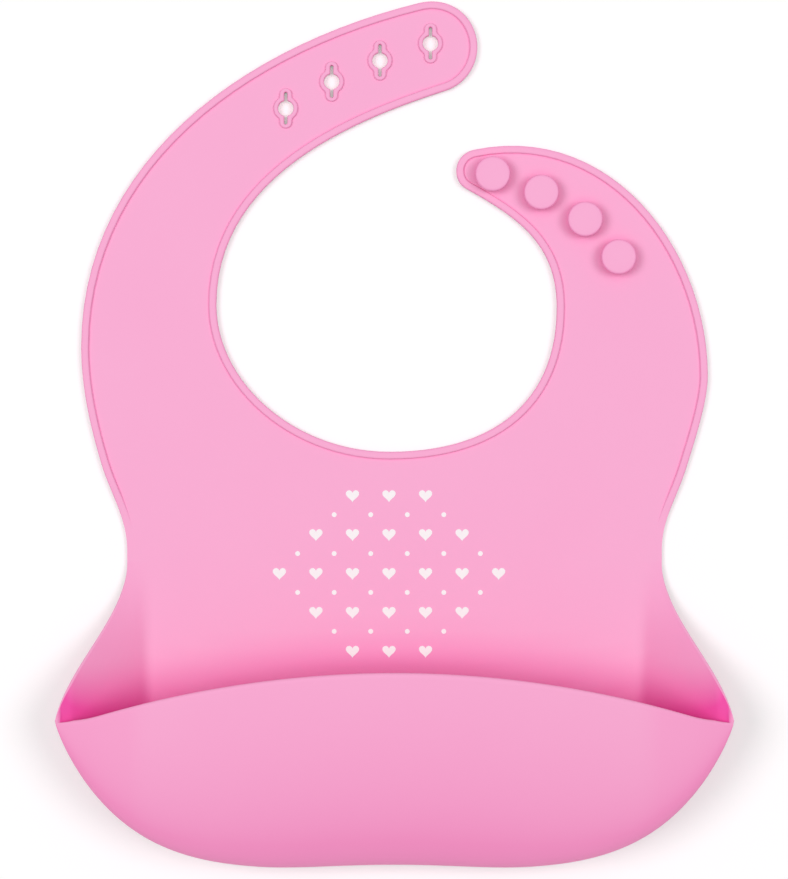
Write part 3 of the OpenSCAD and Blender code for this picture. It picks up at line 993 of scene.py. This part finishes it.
pocketShape = buildPocket()
frontFold = Vector((0, pocket["foldY"], 0)), Vector((0, 1, 0))
middle = [f for f in pocketShape.faces if abs(f.calc_center_median().x) < pocket["sideX"]
          and f.calc_center_median().z < pocket["frontZ"]]
cutAcross(pocketShape, *frontFold, faces=middle)
rightCut = Vector((pocket["sideX"], 0, 0)), Vector((1, 0, 0))
leftCut = Vector((-pocket["sideX"], 0, 0)), Vector((1, 0, 0))
middleCut = Vector((0, 0, 0)), Vector((1, 0, 0))
backShape = takeFaces(pocketShape, lambda f: not isFront(f))
for cut in (rightCut, leftCut, frontFold):
    capOn(backShape, *cut)
addTongue(backShape, *frontFold)
pocketBack = newPiece("pocketBack", backShape, pinkSilicone)
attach(pocketBack, "pocket")
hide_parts("pocket_back", "pocket_left_side", "pocket_right_side")

for name, side, cut in (("pocketFrontLeft", -1, leftCut), ("pocketFrontRight", 1, rightCut)):
    shape = takeFaces(pocketShape, lambda f: isFront(f) and f.calc_center_median().x * side > 0)
    for plane in (cut, middleCut, frontFold):
        capOn(shape, *plane)
    piece = newPiece(name, shape, pinkSilicone)
    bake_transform(piece, "pocket", "pocket_front",
             start=(side * 0.078, -0.098, 0), end=(side * 0.010, -0.098, 0))
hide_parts("pocket_floor", "pocket_front", "pocket_lip")
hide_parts("pocket_floor", "pocket_front", "pocket_lip")
pocketShape.free()
print("pocket built")


# The print on the chest: plain hearts and dots in place of any lettering.
motif = {
    "heartWidth": 4.6,
    "dotRadius": 0.85,
    "columnPitch": 12.4,
    "rowPitch": 6.6,
    "rows": 9,
    "columns": 9,
    "halfWidth": 38.0,
    "halfHeight": 30.0,
    "inkHeight": 0.09,
    "inkSunk": 0.1,
}


def sheetTree():
    tree = bmesh.new()
    for piece in (chestSheet, pocketBack):
        tree.from_mesh(piece.data)
    return BVHTree.FromBMesh(tree)


def addHeart(bm, place):
    # The usual heart curve, 32 units wide.
    unit = motif["heartWidth"] / 32
    made = bmesh.ops.create_circle(bm, cap_ends=True, segments=22, radius=1)["verts"]
    for v in made:
        t = math.atan2(v.co.x, v.co.y)
        v.co.x = unit * 16 * math.sin(t) ** 3
        v.co.y = unit * (13 * math.cos(t) - 5 * math.cos(2 * t) - 2 * math.cos(3 * t)
                         - math.cos(4 * t))
    bmesh.ops.translate(bm, vec=place, verts=made)


def addDot(bm, place):
    made = bmesh.ops.create_circle(bm, cap_ends=True, segments=12,
                                   radius=motif["dotRadius"])["verts"]
    bmesh.ops.translate(bm, vec=place, verts=made)


def buildPrint(middle):
    bm = bmesh.new()
    for row in range(motif["rows"]):
        y = (row - (motif["rows"] - 1) / 2) * motif["rowPitch"]
        hearts = row % 2 == 0
        offset = 0 if hearts else 0.5
        for column in range(-(motif["columns"] // 2), motif["columns"] // 2 + 1):
            x = (column + offset) * motif["columnPitch"]
            if (x / motif["halfWidth"]) ** 2 + (y / motif["halfHeight"]) ** 2 > 1:
                continue
            (addHeart if hearts else addDot)(bm, middle + Vector((x, y, 0)))
    flat = bm.faces[:]
    bmesh.ops.recalc_face_normals(bm, faces=flat)
    raised = bmesh.ops.extrude_face_region(bm, geom=flat, use_keep_orig=True)["geom"]
    bmesh.ops.translate(bm, vec=(0, 0, motif["inkSunk"] + motif["inkHeight"]),
                        verts=[g for g in raised if isinstance(g, bmesh.types.BMVert)])
    bmesh.ops.recalc_face_normals(bm, faces=bm.faces)
    return bm


printMiddle = placeOnSurface(imagePoints["printMiddle"], sheetTree()) / millimetre
printShape = buildPrint(printMiddle - Vector((0, 0, motif["inkSunk"])))
diceFold(printShape, waistPlace, waistAcross, partings["waistReach"])
chestPrint = newPiece("chestPrint", printShape, whiteInk, sharpAngle=30)
blendOver(chestPrint, "chest", "pocket", waistPlace, waistAcross, partings["waistReach"])
print("print made")


# Floor and light.
stage = {
    "floorZ": -0.0003,
    "floorHalf": 3.0,
    "floorColour": (0.96, 0.8, 0.86),
    "floorGlow": (0.07, 0.23, 0.17),
}
lamps = {
    "overhead": {"place": (0.0, 0.4, 4.0), "size": 1.6, "power": 18.5},
    "keyLeft": {"place": (-2.1, 0.3, 3.6), "size": 2.0, "power": 60.6},
    "fillRight": {"place": (2.1, 0.3, 3.6), "size": 2.0, "power": 50.6},
}
world = {"colour": (1.0, 1.0, 1.0), "level": 0.34}


def buildFloor():
    bm = bmesh.new()
    bmesh.ops.create_grid(bm, x_segments=1, y_segments=1, size=stage["floorHalf"])
    bmesh.ops.translate(bm, vec=(0, 0, stage["floorZ"]), verts=bm.verts)
    floor = plainObject("floor", bm)
    material = bpy.data.materials.new("paleFloor")
    material.use_nodes = True
    tree = material.node_tree
    shader = tree.nodes["Principled BSDF"]
    shader.inputs["Base Color"].default_value = (*stage["floorColour"], 1)
    shader.inputs["Roughness"].default_value = 0.9
    shader.inputs["Specular IOR Level"].default_value = 0.0
    # The camera, mirrors and glass see it a little brighter, so that it is white.
    path = tree.nodes.new("ShaderNodeLightPath")
    seen = path.outputs["Is Camera Ray"]
    for ray in ("Is Glossy Ray", "Is Transmission Ray"):
        either = tree.nodes.new("ShaderNodeMath")
        either.operation = "MAXIMUM"
        tree.links.new(seen, either.inputs[0])
        tree.links.new(path.outputs[ray], either.inputs[1])
        seen = either.outputs[0]
    shader.inputs["Emission Color"].default_value = (*stage["floorGlow"], 1)
    tree.links.new(seen, shader.inputs["Emission Strength"])
    floor.data.materials.append(material)


def addLamp(name, lamp):
    light = bpy.data.lights.new(name, "AREA")
    light.shape = "DISK"
    light.size = lamp["size"]
    light.energy = lamp["power"]
    source = bpy.data.objects.new(name, light)
    source.location = lamp["place"]
    source.rotation_euler = (-Vector(lamp["place"])).to_track_quat("-Z", "Y").to_euler()
    scene.collection.objects.link(source)


buildFloor()
for name, lamp in lamps.items():
    addLamp(name, lamp)
scene.world = bpy.data.worlds.new("studio")
scene.world.use_nodes = True
background = scene.world.node_tree.nodes["Background"]
background.inputs["Color"].default_value = (*world["colour"], 1)
background.inputs["Strength"].default_value = world["level"]
scene.view_settings.view_transform = "Standard"
print("floor and lights set")
